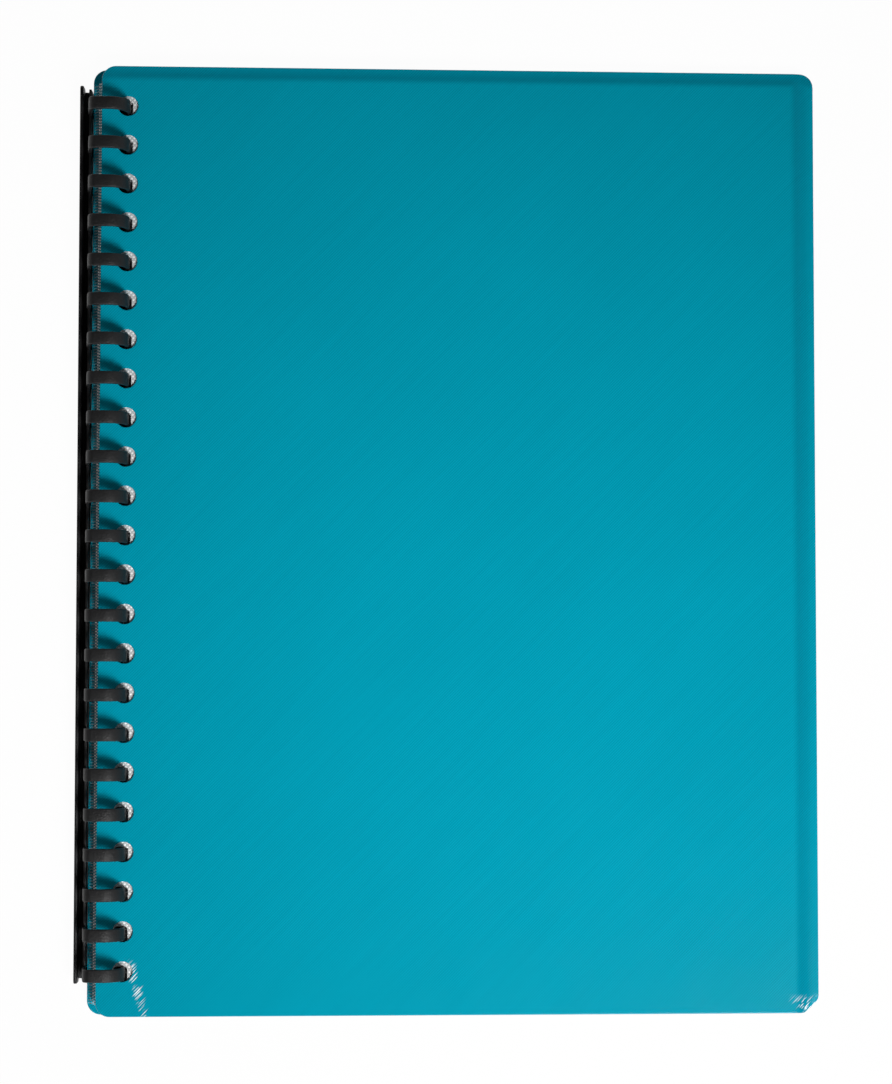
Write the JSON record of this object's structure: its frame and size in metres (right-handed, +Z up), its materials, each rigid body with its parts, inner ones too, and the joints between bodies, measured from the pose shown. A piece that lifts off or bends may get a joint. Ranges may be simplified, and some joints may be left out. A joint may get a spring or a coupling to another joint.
{
  "type": "clear pocket display book",
  "caption": "Refillable display book: teal sheet covers and clear pockets on a black many-ringed spine rail with a clip-on channel, lying closed.",
  "frame": {"origin": "centre of the closed book's footprint, on the surface that it lies on", "axes": "+X from the spine to the fore edge, +Y up the spine towards the pockets' mouths, +Z up"},
  "size_m": [0.2404, 0.307, 0.0174],
  "materials": {
    "cover_plastic": "teal sheet with a fine slanted emboss",
    "spine_plastic": "black moulded, satin",
    "pocket_film": "clear film with a frosted strip"
  },
  "bodies": {
    "base": {"ring_rail": "spine_plastic", "rear_cover": "cover_plastic"},
    "lock_channel": {"lock_channel": "spine_plastic"},
    "front_cover": {"front_cover": "cover_plastic"},
    "pocket_01": {"pocket_01": "pocket_film"},
    "pocket_02": {"pocket_02": "pocket_film"},
    "pocket_03": {"pocket_03": "pocket_film"},
    "pocket_04": {"pocket_04": "pocket_film"},
    "pocket_05": {"pocket_05": "pocket_film"},
    "pocket_06": {"pocket_06": "pocket_film"},
    "pocket_07": {"pocket_07": "pocket_film"},
    "pocket_08": {"pocket_08": "pocket_film"},
    "pocket_09": {"pocket_09": "pocket_film"},
    "pocket_10": {"pocket_10": "pocket_film"},
    "pocket_11": {"pocket_11": "pocket_film"},
    "pocket_12": {"pocket_12": "pocket_film"},
    "pocket_13": {"pocket_13": "pocket_film"},
    "pocket_14": {"pocket_14": "pocket_film"},
    "pocket_15": {"pocket_15": "pocket_film"},
    "pocket_16": {"pocket_16": "pocket_film"},
    "pocket_17": {"pocket_17": "pocket_film"},
    "pocket_18": {"pocket_18": "pocket_film"},
    "pocket_19": {"pocket_19": "pocket_film"},
    "pocket_20": {"pocket_20": "pocket_film"}
  },
  "joints": [
    {"name": "lock_channel_pull", "type": "slide", "parent": "base", "child": "lock_channel", "axis": [-1, 0, 0], "range_m": [0, 0.008]},
    {"name": "pocket_20_turn", "type": "hinge", "parent": "base", "child": "pocket_20", "pos_m": [-0.11331, 0, 0.00895], "axis": [0, -1, 0], "range_deg": [0, 2]},
    {"name": "pocket_19_turn", "type": "hinge", "parent": "pocket_20", "child": "pocket_19", "pos_m": [-0.11331, 0, 0.00895], "axis": [0, -1, 0], "range_deg": [0, 2]},
    {"name": "pocket_18_turn", "type": "hinge", "parent": "pocket_19", "child": "pocket_18", "pos_m": [-0.11331, 0, 0.00895], "axis": [0, -1, 0], "range_deg": [0, 2]},
    {"name": "pocket_17_turn", "type": "hinge", "parent": "pocket_18", "child": "pocket_17", "pos_m": [-0.11331, 0, 0.00895], "axis": [0, -1, 0], "range_deg": [0, 2]},
    {"name": "pocket_16_turn", "type": "hinge", "parent": "pocket_17", "child": "pocket_16", "pos_m": [-0.11331, 0, 0.00895], "axis": [0, -1, 0], "range_deg": [0, 2]},
    {"name": "pocket_15_turn", "type": "hinge", "parent": "pocket_16", "child": "pocket_15", "pos_m": [-0.11331, 0, 0.00895], "axis": [0, -1, 0], "range_deg": [0, 2]},
    {"name": "pocket_14_turn", "type": "hinge", "parent": "pocket_15", "child": "pocket_14", "pos_m": [-0.11331, 0, 0.00895], "axis": [0, -1, 0], "range_deg": [0, 2]},
    {"name": "pocket_13_turn", "type": "hinge", "parent": "pocket_14", "child": "pocket_13", "pos_m": [-0.11331, 0, 0.00895], "axis": [0, -1, 0], "range_deg": [0, 2]},
    {"name": "pocket_12_turn", "type": "hinge", "parent": "pocket_13", "child": "pocket_12", "pos_m": [-0.11331, 0, 0.00895], "axis": [0, -1, 0], "range_deg": [0, 2]},
    {"name": "pocket_11_turn", "type": "hinge", "parent": "pocket_12", "child": "pocket_11", "pos_m": [-0.11331, 0, 0.00895], "axis": [0, -1, 0], "range_deg": [0, 2]},
    {"name": "pocket_10_turn", "type": "hinge", "parent": "pocket_11", "child": "pocket_10", "pos_m": [-0.11331, 0, 0.00895], "axis": [0, -1, 0], "range_deg": [0, 2]},
    {"name": "pocket_09_turn", "type": "hinge", "parent": "pocket_10", "child": "pocket_09", "pos_m": [-0.11331, 0, 0.00895], "axis": [0, -1, 0], "range_deg": [0, 2]},
    {"name": "pocket_08_turn", "type": "hinge", "parent": "pocket_09", "child": "pocket_08", "pos_m": [-0.11331, 0, 0.00895], "axis": [0, -1, 0], "range_deg": [0, 2]},
    {"name": "pocket_07_turn", "type": "hinge", "parent": "pocket_08", "child": "pocket_07", "pos_m": [-0.11331, 0, 0.00895], "axis": [0, -1, 0], "range_deg": [0, 2]},
    {"name": "pocket_06_turn", "type": "hinge", "parent": "pocket_07", "child": "pocket_06", "pos_m": [-0.11331, 0, 0.00895], "axis": [0, -1, 0], "range_deg": [0, 2]},
    {"name": "pocket_05_turn", "type": "hinge", "parent": "pocket_06", "child": "pocket_05", "pos_m": [-0.11331, 0, 0.00895], "axis": [0, -1, 0], "range_deg": [0, 2]},
    {"name": "pocket_04_turn", "type": "hinge", "parent": "pocket_05", "child": "pocket_04", "pos_m": [-0.11331, 0, 0.00895], "axis": [0, -1, 0], "range_deg": [0, 2]},
    {"name": "pocket_03_turn", "type": "hinge", "parent": "pocket_04", "child": "pocket_03", "pos_m": [-0.11331, 0, 0.00895], "axis": [0, -1, 0], "range_deg": [0, 2]},
    {"name": "pocket_02_turn", "type": "hinge", "parent": "pocket_03", "child": "pocket_02", "pos_m": [-0.11331, 0, 0.00895], "axis": [0, -1, 0], "range_deg": [0, 2]},
    {"name": "pocket_01_turn", "type": "hinge", "parent": "pocket_02", "child": "pocket_01", "pos_m": [-0.11331, 0, 0.00895], "axis": [0, -1, 0], "range_deg": [0, 2]},
    {"name": "front_cover_turn", "type": "hinge", "parent": "pocket_01", "child": "front_cover", "pos_m": [-0.11331, 0, 0.00895], "axis": [0, -1, 0], "range_deg": [0, 60]}
  ]
}
